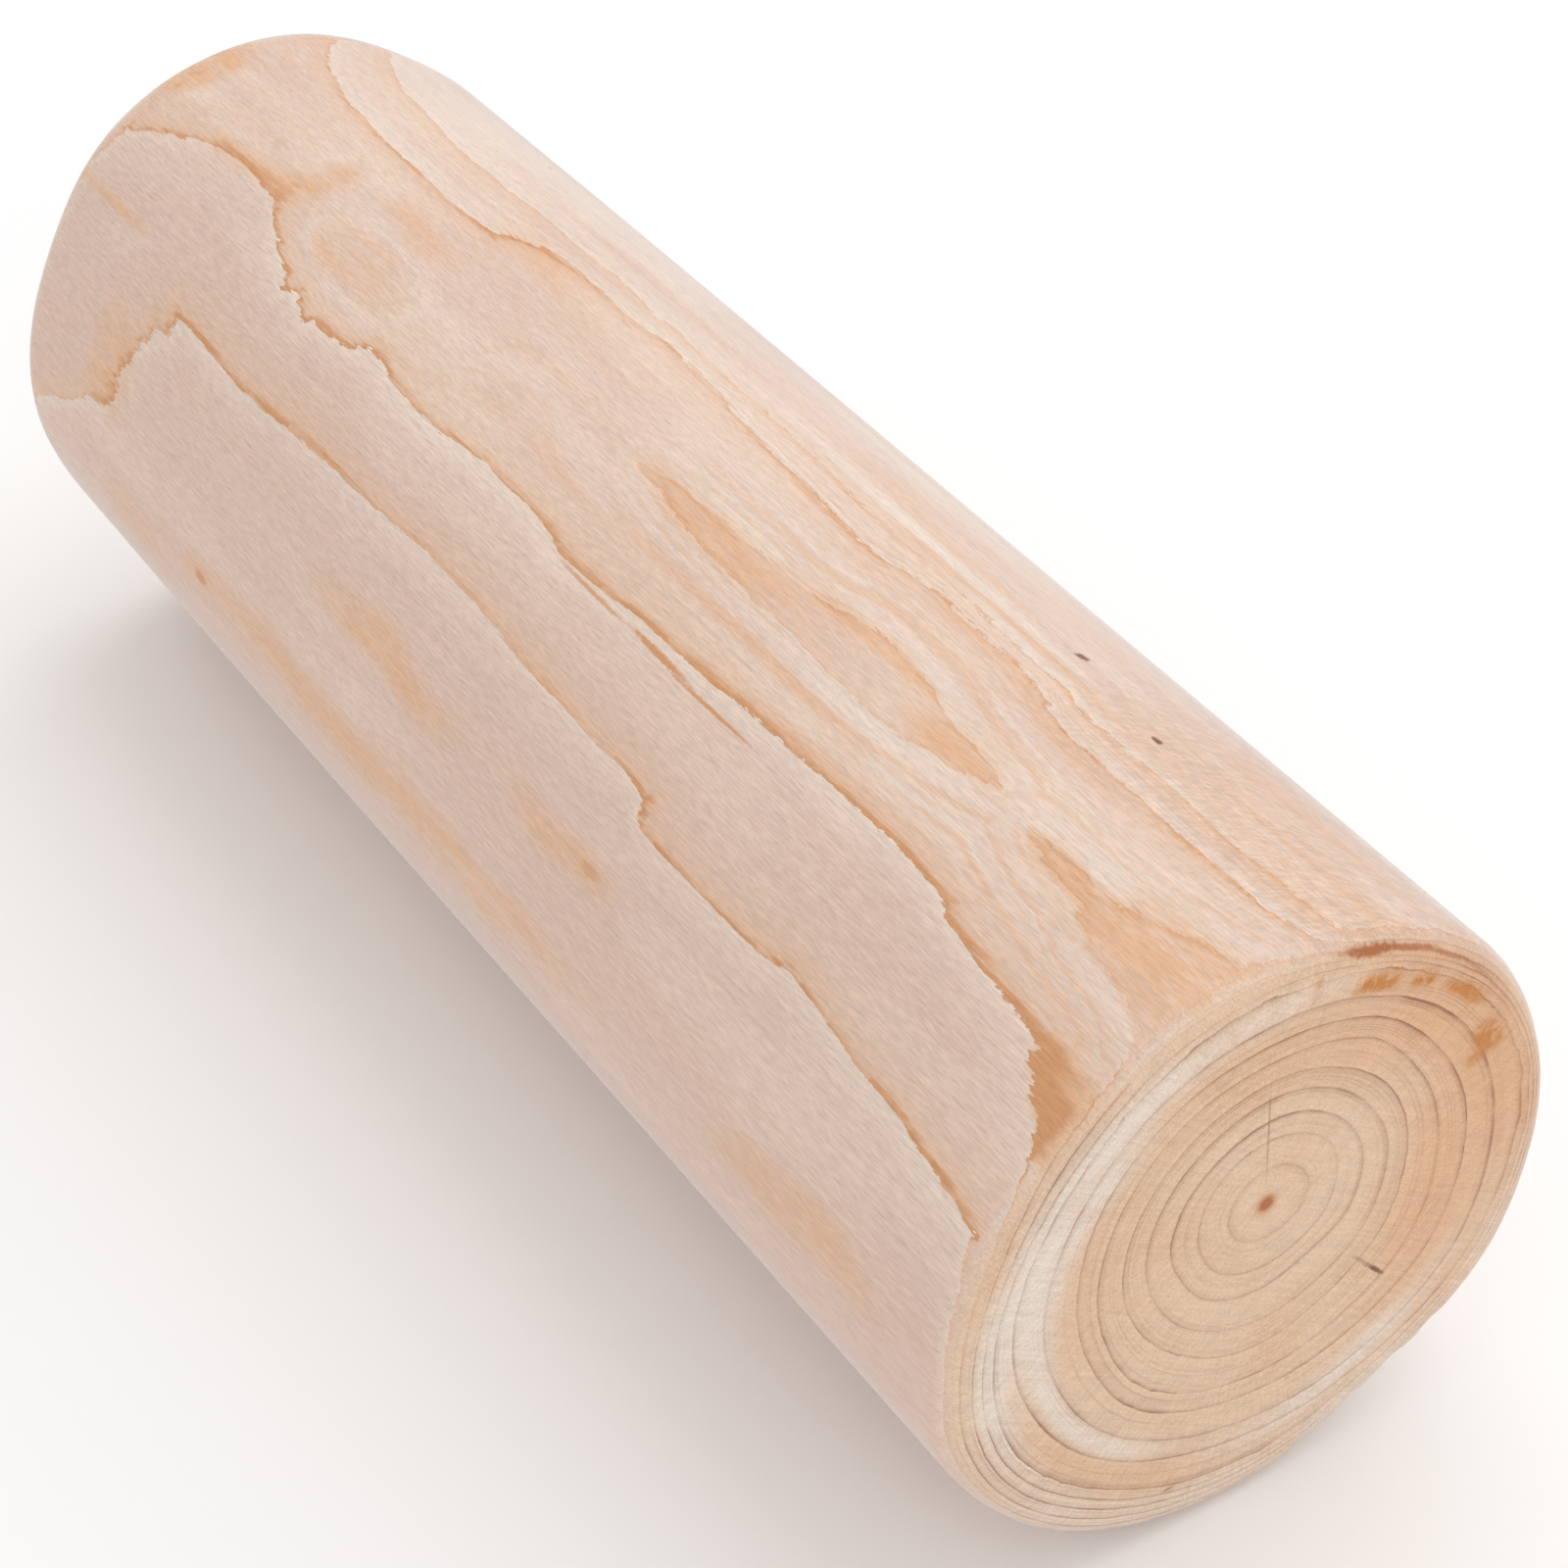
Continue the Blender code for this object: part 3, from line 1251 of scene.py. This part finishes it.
    def gradient(self, log: bpy.types.Object, values: Array) -> Array:
        """How fast a value changes over the surface, per millimetre, along X, Y and Z.

        Args:
            log: The piece.
            values: The value at each of its points.

        Returns:
            One vector for each point.
        """
        count = len(log.data.vertices)
        places = numbers_of(log.data.vertices, "co", 3).astype(float) / MM
        starts, ends = numbers_of(log.data.edges, "vertices", 2, np.int32).T
        apart = places[ends] - places[starts]
        change = values[ends] - values[starts]
        moments = (apart[:, :, None] * apart[:, None, :]).reshape(-1, 9)
        both = np.concatenate([moments, apart * change[:, None]], axis=1)
        sums = np.zeros((count, 12))
        for column in range(12):
            for corner in (starts, ends):
                sums[:, column] += np.bincount(corner, weights=both[:, column], minlength=count)
        square = sums[:, :9].reshape(-1, 3, 3) + 1e-3 * np.eye(3)
        return np.linalg.solve(square, sums[:, 9:, None])[:, :, 0]

    def mark(self, log: bpy.types.Object, surface: Surface) -> None:
        """Writes on each point what the material reads there.

        Args:
            log: The piece.
            surface: Where its points are.
        """
        year, tone, about_pith, reach, share = self.growth.year(surface)
        station, cut = surface.station, surface.cut
        slopes = self.gradient(log, year)
        years_per_mm = np.linalg.norm(slopes, axis=1)
        on_side, near = 1.0 - cut, station < self.near_reach
        on_rim = np.maximum(cut * near, near * (station < self.rim_reach))
        beyond = surface.angle - self.growth.left_lines[0].angle_at(station)
        fresh = np.clip((165.0 - station) / 70.0, 0.35, 1.0)
        end = EndMarks()
        values = {
            "year": year,
            "tone": tone * (1.0 - 0.6 * ramp(cut / 0.1) * ramp(on_side / 0.2)),
            "spacing": 1.0 / np.clip(years_per_mm, 1.0 / self.widest_spacing, self.most_lines),
            "slope": np.clip(slopes[:, 0], -self.steepest_slope, self.steepest_slope) * on_side,
            "cut": cut,
            "tan": self.tanned(surface, beyond) * on_side,
            "pale": end.stained(end.pale_stains, about_pith, share) * cut,
            "warm": end.stained(end.warm_stains, about_pith, share) * cut,
            "ochre": end.stained(end.ochre_stains, about_pith, share) * cut * near,
            "umber": end.stained(end.umber_stains, about_pith, share) * on_rim,
            "pith": np.exp(-((reach / end.pith_radius) ** 2)) * cut,
            "sanded": self.patch_amount(self.sanded, surface),
            "nested": 0.10 + 0.90 * fresh * ramp(0.7 - beyond / 4.0) * (surface.angle > 45.0),
            "blush": 0.6 * ramp(beyond / 6.0 + 0.3) * (surface.angle < 250.0),
        }
        for name, numbers in values.items():
            layer = log.data.attributes.new(name, "FLOAT", "POINT")
            layer.data.foreach_set("value", numbers.astype(np.float32))

    def tanned(self, surface: Surface, beyond: Array) -> Array:
        """How tan the patches and strokes make each point.

        A patch on the near side of the first left growth line ends at that line.

        Args:
            surface: Where the points are.
            beyond: How far past that line they are, in degrees.

        Returns:
            The amounts.
        """
        tan = np.zeros(len(beyond))
        for patch in self.patches:
            amount = self.patch_amount(patch, surface)
            line = self.growth.left_lines[0].angle_at(np.array([sum(patch.stations) / 2.0]))[0]
            if sum(patch.angles) / 2.0 < line:
                amount = amount * ramp(0.6 - beyond / 1.2)
            tan = np.maximum(tan, amount)
        for stroke in self.strokes:
            gap = self.growth.distance(stroke.points, surface.station, surface.angle)
            tan = np.maximum(tan, stroke.strength * np.exp(-((gap / stroke.half_width) ** 2)))
        return tan

    def patch_amount(self, patch: Patch, surface: Surface) -> Array:
        """How much of a soft patch shows at each point.

        Args:
            patch: The patch.
            surface: Where the points are.

        Returns:
            The amount, 0 to its strength.
        """
        middle, half = sum(patch.stations) / 2.0, (patch.stations[1] - patch.stations[0]) / 2.0
        along = (surface.station - middle) / half
        height = (patch.angles[1] - patch.angles[0]) / 2.0
        wave = 0.30 * np.sin(surface.station / 7.3 + middle) + 0.2 * np.sin(surface.station / 3.1 + height)
        round_it = (surface.angle - sum(patch.angles) / 2.0) / height + wave * min(1.0, 4.0 / height)
        away = (np.abs(along) ** 2.6 + np.abs(round_it) ** 2.6) ** (1.0 / 2.6)
        blur = patch.fade / (height * self.growth.mm_per_degree())
        return patch.strength * eased((1.0 - away) / blur + 0.5)


@dataclass(frozen=True)
class EndStain:
    """A stain on the near end, about the pith.

    Args:
        angle: Its middle, in degrees about the pith.
        half_angle: Half its width, in degrees.
        share: How far out it is, from pith to rim.
        half_share: Half its height.
        strength: How much it shows.
    """

    angle: float
    half_angle: float
    share: float
    half_share: float
    strength: float


@dataclass(frozen=True)
class EndMarks:
    """The stains, pale wood and pith of the sawn ends."""

    ochre_stains: tuple[EndStain, ...] = (
        EndStain(38.0, 7.5, 0.858, 0.022, 0.95),
        EndStain(52.5, 3.5, 0.858, 0.026, 1.05),
        EndStain(66.5, 6.5, 0.852, 0.032, 1.00),
        EndStain(18.5, 5.0, 0.805, 0.050, 0.95),
        EndStain(14.0, 2.5, 0.745, 0.030, 0.70),
        EndStain(84.0, 1.0, 0.880, 0.050, 0.50),
    )
    umber_stains: tuple[EndStain, ...] = (
        EndStain(52.0, 30.0, 0.965, 0.030, 0.40),
        EndStain(35.0, 22.0, 0.928, 0.016, 0.60),
        EndStain(30.0, 12.0, 0.888, 0.014, 0.35),
        EndStain(345.0, 16.0, 0.788, 0.008, 0.40),
        EndStain(350.0, 14.0, 0.868, 0.010, 0.40),
        EndStain(355.0, 10.0, 0.915, 0.020, 0.30),
    )
    warm_stains: tuple[EndStain, ...] = (
        EndStain(20.0, 48.0, 0.780, 0.190, 1.00),
        EndStain(345.0, 34.0, 0.660, 0.190, 0.85),
        EndStain(40.0, 40.0, 0.950, 0.060, 0.55),
        EndStain(235.0, 42.0, 0.790, 0.045, 0.60),
        EndStain(75.0, 50.0, 0.640, 0.200, 0.60),
    )
    pale_stains: tuple[EndStain, ...] = (
        EndStain(160.0, 75.0, 0.860, 0.070, 0.95),
        EndStain(172.0, 42.0, 0.765, 0.085, 0.95),
        EndStain(215.0, 40.0, 0.710, 0.035, 0.80),
        EndStain(290.0, 40.0, 0.780, 0.045, 0.80),
        EndStain(260.0, 60.0, 0.920, 0.070, 0.60),
        EndStain(330.0, 25.0, 0.930, 0.050, 0.50),
    )
    pith_radius: float = 1.6

    def stained(self, stains: tuple[EndStain, ...], about_pith: Array, share: Array) -> Array:
        """How much of some stains shows at each point.

        Args:
            stains: The stains.
            about_pith: The points' angles about the pith.
            share: How far out they are, from pith to rim.

        Returns:
            The amount of the strongest one.
        """
        amount = np.zeros(len(share))
        for stain in stains:
            apart = past(about_pith, stain.angle) / stain.half_angle
            out = (share - stain.share) / stain.half_share
            amount = np.maximum(amount, stain.strength * np.exp(-(apart**4) - out**4))
        return amount


@dataclass(frozen=True)
class SoftLight:
    """A square soft light that faces the log.

    Args:
        name: Its name.
        place: Where it hangs, in metres.
        size: How long its sides are, in metres.
        power: Its power in watts.
    """

    name: str
    place: Triple
    size: float
    power: float


@dataclass
class Studio:
    """A pale floor, soft light and the camera."""

    lights: tuple[SoftLight, ...] = (
        SoftLight("overhead", (-0.2, 0.8, 1.35), 1.8, 10.5),
        SoftLight("end_fill", (1.5, -0.3, 0.7), 1.0, 2.0),
        SoftLight("left_fill", (0.1, -1.4, 0.35), 1.4, 1.2),
    )
    aim: Triple = (0.0, 0.0, 0.05)
    floor_size: float = 6.0
    floor_colour: Colour = (0.96, 0.96, 0.96)
    camera_from_pole: Triple = (0.225529, -0.222855, 0.338850)
    azimuth: float = 56.64
    elevation: float = 39.85
    lens_length: float = 81.0
    world_strength: float = 0.775

    def build(self, pole: Vector) -> None:
        """Sets up all of the studio.

        Args:
            pole: Where the log's axis meets the near cut.
        """
        self.lay_floor()
        self.light_up()
        self.stand_camera(pole)

    def lay_floor(self) -> None:
        """Lays the pale floor at the log's lowest level."""
        bpy.ops.object.select_all(action="DESELECT")
        bpy.ops.mesh.primitive_plane_add(size=self.floor_size, location=(0.0, 0.0, 0.0))
        floor = bpy.context.object
        floor.name = "studio_floor"
        paper = bpy.data.materials.new("pale_paper")
        paper.use_nodes = True
        surface = paper.node_tree.nodes["Principled BSDF"]
        surface.inputs["Base Color"].default_value = (*self.floor_colour, 1.0)
        surface.inputs["Roughness"].default_value = 0.9
        surface.inputs["Specular IOR Level"].default_value = 0.1
        floor.data.materials.append(paper)

    def light_up(self) -> None:
        """Hangs the soft lights and gives the room its even white."""
        world = bpy.data.worlds.new("studio")
        bpy.context.scene.world = world
        world.use_nodes = True
        sky = world.node_tree.nodes["Background"]
        sky.inputs["Color"].default_value = (1.0, 1.0, 1.0, 1.0)
        sky.inputs["Strength"].default_value = self.world_strength
        for light in self.lights:
            lamp = bpy.data.lights.new(light.name, "AREA")
            lamp.shape = "SQUARE"
            lamp.size = light.size
            lamp.energy = light.power
            holder = bpy.data.objects.new(light.name, lamp)
            bpy.context.scene.collection.objects.link(holder)
            holder.location = light.place
            towards = Vector(self.aim) - Vector(light.place)
            holder.rotation_euler = towards.to_track_quat("-Z", "Y").to_euler()
        bpy.context.scene.view_settings.view_transform = "Standard"

    def stand_camera(self, pole: Vector) -> None:
        """Stands the camera where the photograph was taken from.

        Args:
            pole: Where the log's axis meets the near cut.
        """
        turn, rise = math.radians(self.azimuth), math.radians(self.elevation)
        back = Vector((math.sin(turn) * math.cos(rise), -math.cos(turn) * math.cos(rise), math.sin(rise)))
        right = Vector((math.cos(turn), math.sin(turn), 0.0))
        upward = back.cross(right)
        camera = bpy.data.cameras.new("camera")
        camera.lens = self.lens_length
        camera.sensor_width = 36.0
        camera.clip_start = 0.01
        holder = bpy.data.objects.new("camera", camera)
        bpy.context.scene.collection.objects.link(holder)
        frame_axes = Matrix((right, upward, back)).transposed().to_4x4()
        holder.matrix_world = Matrix.Translation(pole + Vector(self.camera_from_pole)) @ frame_axes
        bpy.context.scene.camera = holder


LEFT_LINES = (
    GrowthLine(
        (
            (286, 131), (272.3, 123.1), (269.2, 121.2), (265, 118.3), (260, 115.9), (257.5, 115.1),
            (255.8, 113.5), (250, 111.6), (242.5, 110.7), (235, 110.9), (230, 111.3), (227.9, 112.6),
            (225.8, 114.5), (222.5, 115.7), (220, 117.3), (216.7, 118.8), (213.8, 119.4), (212.5, 122.4),
            (209.2, 120.2), (206.7, 122.1), (204.6, 122.8), (202.9, 124.5), (201.7, 122.4), (196.7, 122.1),
            (192.5, 121.6), (189.6, 120.5), (187.9, 119), (184.2, 119.3), (180, 120.5), (175, 121.1),
            (165, 121.5), (160.8, 120.7), (156.7, 120.1), (150, 119.7), (140, 119.5), (135, 119.9),
            (131.7, 120.5), (129.6, 121.5), (120, 121.3), (115, 121.1), (111.7, 120.3), (100, 119.9),
            (90, 119.4), (80, 118.8), (70, 118.3), (50, 118.1), (43.3, 118.5), (37.9, 119.3),
            (37.1, 120.7), (30, 121.5), (25, 122.4), (20, 123.1), (13.3, 123.7), (12.7, 126.9),
            (10, 127.6), (9.6, 129.8), (7.5, 131), (5, 132.6), (4.6, 134.8), (2.5, 135.8),
            (0.8, 137.4), (-8, 141),
        ),
        ((280, 0.8), (250, 0.7), (215, 0.9), (200, 1), (180, 0.8), (150, 0.6), (125, 1),
         (90, 0.9), (60, 0.8), (35, 0.9), (16, 1), (10, 1.1), (0, 1.1)),
    ),
    GrowthLine(
        (
            (286, 186), (270, 177.5), (263, 173.7), (254, 169.9), (249, 165.6), (243, 164.6),
            (240, 161.8), (239.6, 158), (239.2, 154.6), (237.5, 152.2), (237, 150.3), (236.3, 147.9),
            (234.6, 146.5), (233.8, 143.6), (230, 142.9), (229.6, 141), (229.2, 139.4), (226.7, 138.8),
            (220, 139.3), (213.3, 140), (206.7, 140.3), (200, 139.6), (192.5, 138.8), (180, 138),
            (165, 137.9), (160, 137.3), (150, 136.7), (140, 136.9), (130, 137.4), (120, 137.9),
            (110, 138.4), (100, 138.7), (93.3, 138.8), (89.6, 139.3), (87.8, 140.3), (87, 142.2),
            (85, 143.4), (80, 143.9), (60, 143.9), (55, 143.6), (53.3, 143), (50.4, 142.2),
            (46.7, 142.7), (40, 143.8), (33.3, 144.8), (29.2, 145.1), (22.5, 145.7), (20, 146.7),
            (15, 147.6), (10, 148.6), (5, 150), (3.3, 151.1), (-8, 152.5),
        ),
        ((280, 0.3), (255, 0.45), (240, 0.7), (225, 0.9), (190, 0.9), (160, 0.6), (100, 0.6),
         (86, 0.9), (70, 0.7), (52, 1), (30, 0.8), (0, 1)),
    ),
    wandering_line(214, 6, ((96, 4), (205, -5)), 0.4),
    wandering_line(238, -4, ((150, 5),), 2.1),
    wandering_line(261, -5, ((60, -3), (222, 4)), 3.9),
)

RIGHT_LINES = (
    GrowthLine(
        (
            (286, 52), (276, 64), (270, 72.9), (266.7, 76.7), (260, 81.5), (251.7, 84.4),
            (243.3, 86.3), (235.8, 86.6), (230, 87.2), (210, 87.7), (200, 86.9), (196.7, 86.3),
            (195.8, 83.9), (191.7, 82), (190, 81), (185.8, 80.1), (180, 79.8), (170, 79.6),
            (160, 78.8), (155, 78.6), (150, 79.1), (140, 79.9), (135, 80.6), (130, 81.5),
            (120, 82.3), (110, 83.2), (100, 84.4), (95, 83.7), (91.7, 82.3), (84.2, 81),
            (79.2, 81.7), (70, 81.7), (67.5, 81.2), (64.2, 82), (60, 83.2), (55, 84.9),
            (50, 85.5), (40, 85.8), (30, 86.3), (20, 86.3), (10, 85.8), (6.7, 84.9),
            (1.7, 83.9), (-8, 82.5),
        ),
        ((280, 0.6), (240, 0.6), (200, 0.8), (180, 0.7), (150, 0.6), (100, 0.75), (60, 0.65),
         (0, 0.6)),
    ),
    GrowthLine(
        (
            (286, 42), (276, 55), (270, 61.4), (263, 66.2), (258, 69.1), (250, 72),
            (240, 73.4), (230, 75.3), (220, 75.8), (210, 75.3), (200, 74.3), (180, 73.4),
            (170, 75), (160, 74.6), (120, 76.3), (110, 77.2), (100, 77.8), (80, 78.2),
            (60, 79.1), (55, 80.6), (40, 81), (0, 79.6), (-8, 79),
        ),
        ((280, 0.5), (200, 0.45), (100, 0.6), (0, 0.6)),
    ),
    wandering_line(30, -8, ((120, 3.5),), 1),
    wandering_line(6, -5, ((190, 4), (70, -3)), 5),
    wandering_line(-29, 4, ((130, -4),), 0.2),
)

ISLANDS = (
    Island(
        (
            (131.7, 102), (120, 104.6), (110, 105.4), (100, 105.7), (90, 106.1), (83.3, 106.4),
            (79.6, 107), (69.2, 106.8), (64.6, 105.9), (60, 104.9), (55, 104.2), (50, 102.5),
            (47.5, 101.2),
        ),
        (
            (131.7, 101.6), (129.2, 101.1), (125.8, 100.1), (117.5, 99.2), (100, 98.9), (95, 98.6),
            (91.7, 97.8), (90.4, 97.3), (87.5, 96.3), (80, 95.1), (75, 95.4), (69.2, 95.8),
            (64.2, 97.3), (60, 98.5), (53.3, 99.2), (49, 100.1), (47.5, 100.8),
        ),
        Wood.OLDER,
        0.40,
    ),
    Island(
        (
            (39.5, 102.7), (36.7, 104.2), (33.3, 105.2), (25, 105.9), (23.8, 107.8), (20, 108.5),
            (19.6, 110), (14.2, 110.4), (10, 111.9), (5, 113.5), (4.2, 115.4), (1.7, 116.9),
            (-9, 121),
        ),
        (
            (39.5, 102.3), (29.2, 102.1), (20.8, 102.5), (20, 101.1), (15.8, 100.1), (12.5, 98.5),
            (9.2, 97.3), (6.7, 96.3), (4.2, 95.4), (-9, 92),
        ),
        Wood.OLDER,
        0.42,
    ),
    Island(
        (
            (218.5, 109.7), (216, 111.6), (213, 113), (209, 114.3), (203, 114.8), (193.8, 114.6),
            (193, 112.7), (191, 111.6), (188, 109.5),
        ),
        (
            (218.5, 109.5), (215.5, 107.2), (213.5, 105.6), (209, 103.2), (201, 102.8), (195, 103.9),
            (193.5, 106), (191, 107.6), (188, 109.3),
        ),
        Wood.OLDER,
        0.02,
    ),
    lens((70, 168), 296, 9, 0.3, Wood.YOUNGER),
    lens((196, 262), 300, 7, 1.7, Wood.YOUNGER),
)

RINGS = (
    RingRead((0.145, 0.150, 0.160, 0.167, 0.165, 0.147, 0.130, 0.115, 0.110, 0.110, 0.120, 0.130), 0.30),
    RingRead((0.240, 0.260, 0.280, 0.297, 0.297, 0.265, 0.230, 0.207, 0.203, 0.203, 0.215, 0.225), 0.42),
    RingRead(
        (0.325, 0.335, 0.360, 0.390, 0.380, 0.355, 0.320, 0.280, 0.275, 0.275, 0.280, 0.310), 0.45,
        ((120, 60, 0.5),),
    ),
    RingRead(
        (0.410, 0.415, 0.450, 0.487, 0.480, 0.445, 0.400, 0.365, 0.360, 0.380, 0.400, 0.400), 0.50,
        ((110, 60, 0.5),),
    ),
    RingRead(
        (0.475, 0.495, 0.525, 0.565, 0.560, 0.520, 0.475, 0.435, 0.430, 0.465, 0.475, 0.470), 0.50,
        ((80, 40, 0.4),),
    ),
    RingRead((0.583, 0.595, 0.645, 0.655, 0.660, 0.610, 0.555, 0.525, 0.540, 0.565, 0.600, 0.595), 0.55),
    RingRead(
        (0.677, 0.677, 0.720, 0.735, 0.742, 0.695, 0.620, 0.580, 0.595, 0.620, 0.680, 0.685), 0.62,
        ((240, 60, 0.3), (60, 30, 0.4)),
    ),
    RingRead(
        (0.775, 0.778, 0.798, 0.822, 0.825, 0.777, 0.725, 0.680, 0.680, 0.715, 0.790, 0.793), 0.6,
        ((50, 50, 0.5), (345, 18, 0.6)),
    ),
    RingRead(
        (0.880, 0.890, 0.905, 0.930, 0.928, 0.870, 0.825, 0.765, 0.745, 0.765, 0.845, 0.865), 0.5,
        ((35, 22, 0.7), (215, 22, 0.3)),
    ),
    RingRead(
        (0.905, 0.903, 0.918, 0.945, 0.945, 0.910, 0.878, 0.857, 0.832, 0.860, 0.880, 0.890), 0.65,
        ((55, 30, 0.5),),
    ),
)

PATCHES = (
    Patch((47, 66), (98, 105), 0.50, 3.5),
    Patch((62, 95), (95.3, 99.3), 0.60, 2),
    Patch((92, 212), (172.5, 183.5), 0.68, 4.5),
    Patch((120, 190), (174, 181), 0.60, 3),
    Patch((222, 244), (177, 191), 0.45, 5),
    Patch((200, 214), (175, 182), 0.75, 4),
    Patch((132, 168), (151.8, 159.6), 0.82, 4.5),
    Patch((86.5, 110), (152.4, 158.4), 0.72, 4),
    Patch((89, 95), (153.6, 157), 1.10, 3),
    Patch((18, 52), (169.5, 180), 0.62, 5),
    Patch((5, 46), (50, 62), 0.28, 5),
    Patch((236, 251), (147, 166), 0.55, 6),
    Patch((178, 198), (80.5, 87), 0.35, 3),
    Patch((-6, 62), (63.5, 81), 0.34, 7),
    Patch((265.5, 290), (91, 112), 0.85, 2.5),
    Patch((189, 218), (104, 114.4), 0.50, 2),
    Patch((193.5, 215), (94.3, 100.3), 0.42, 2.5),
    Patch((-4, 15), (122.5, 141), 1.15, 2),
    Patch((-9, 24), (95, 111), 0.50, 3),
    Patch((14, 40), (101.5, 109), 0.50, 2),
    Patch((98, 133), (98.8, 105), 0.50, 2.5),
)

STROKES = (
    Stroke(((148, 111.1), (140, 112.3), (130, 112.6), (100, 112), (80, 111.9), (65, 112.1)), 1.1, 0.28),
    Stroke(((95, 88.3), (80, 88), (60, 88.4)), 1.2, 0.30),
    Stroke(((100, 74.8), (80, 74.5), (60, 75.5), (40, 75.8), (0, 75.5)), 0.8, 0.40),
    Stroke(((276, 132.5), (249, 132.1)), 0.7, 0.9),
    Stroke(((250, 110.8), (240, 110), (234, 108.5), (229, 105.5)), 1.8, 0.60),
    Stroke(((230, 107.5), (227, 104), (226, 99.5)), 3.2, 0.75),
)

KNOTS = (
    Knot(67, 69, (1.3, 0.9), 20, 0.95),
    Knot(46, 73.5, (1.2, 0.7), 0, 0.95),
    Knot(229, 53.5, (1.8, 0.6), -30, 0.55, Mark.STAIN),
    Knot(207, 178.5, (2.4, 1.5), 0, 0.95, Mark.STAIN),
    Knot(91.5, 155.2, (2.6, 1.3), 0, 0.50, Mark.STAIN),
    Knot(120, 122.4, (10, 0.42), -0.6, 0.80, Mark.STAIN),
    Knot(102.5, 122.2, (9, 0.65), -0.8, 1.00, Mark.STAIN),
    Knot(89, 122.7, (11.5, 0.36), 1.2, 0.95, Mark.STAIN),
)

CHECKS = (
    Check((15.5, -9), (22, -16.5), 0.45, 0.45),
    Check((19, -13), (22.3, -16.8), 0.50, 0.90),
    Check((-1.4, 13.5), (-2.9, 33), 0.20, 0.42),
    Check((-13.2, -39.5), (-10.8, -39.7), 0.30, 0.60),
    Check((6, 48.8), (18, 45.1), 0.80, 0.95, Mark.SCORCH),
    Check((12.5, 47.2), (24, 41.7), 0.50, 0.80, Mark.SCORCH),
    Check((20.5, 43.6), (29.5, 36.8), 0.45, 0.60, Mark.SCORCH),
    Check((26.8, 39.3), (34.4, 30.8), 0.35, 0.45, Mark.SCORCH),
)


def main() -> None:
    """Builds the log and the studio round it."""
    logging.basicConfig(level=logging.INFO, format="%(message)s")
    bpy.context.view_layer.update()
    shape = LogShape()
    growth = GrowthField(LEFT_LINES, RIGHT_LINES, ISLANDS, RINGS, shape)
    builder = PeeledLog(shape, growth, PeeledWood(), PATCHES, STROKES, KNOTS, CHECKS)
    log = builder.build()
    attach(log, "root")
    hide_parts("stump_log")
    LOGGER.info("%s: %d points, %d faces", log.name, len(log.data.vertices), len(log.data.polygons))
    Studio().build(builder.pole)
    LOGGER.info("studio: floor, lights and camera")


if __name__ == "__main__":
    main()
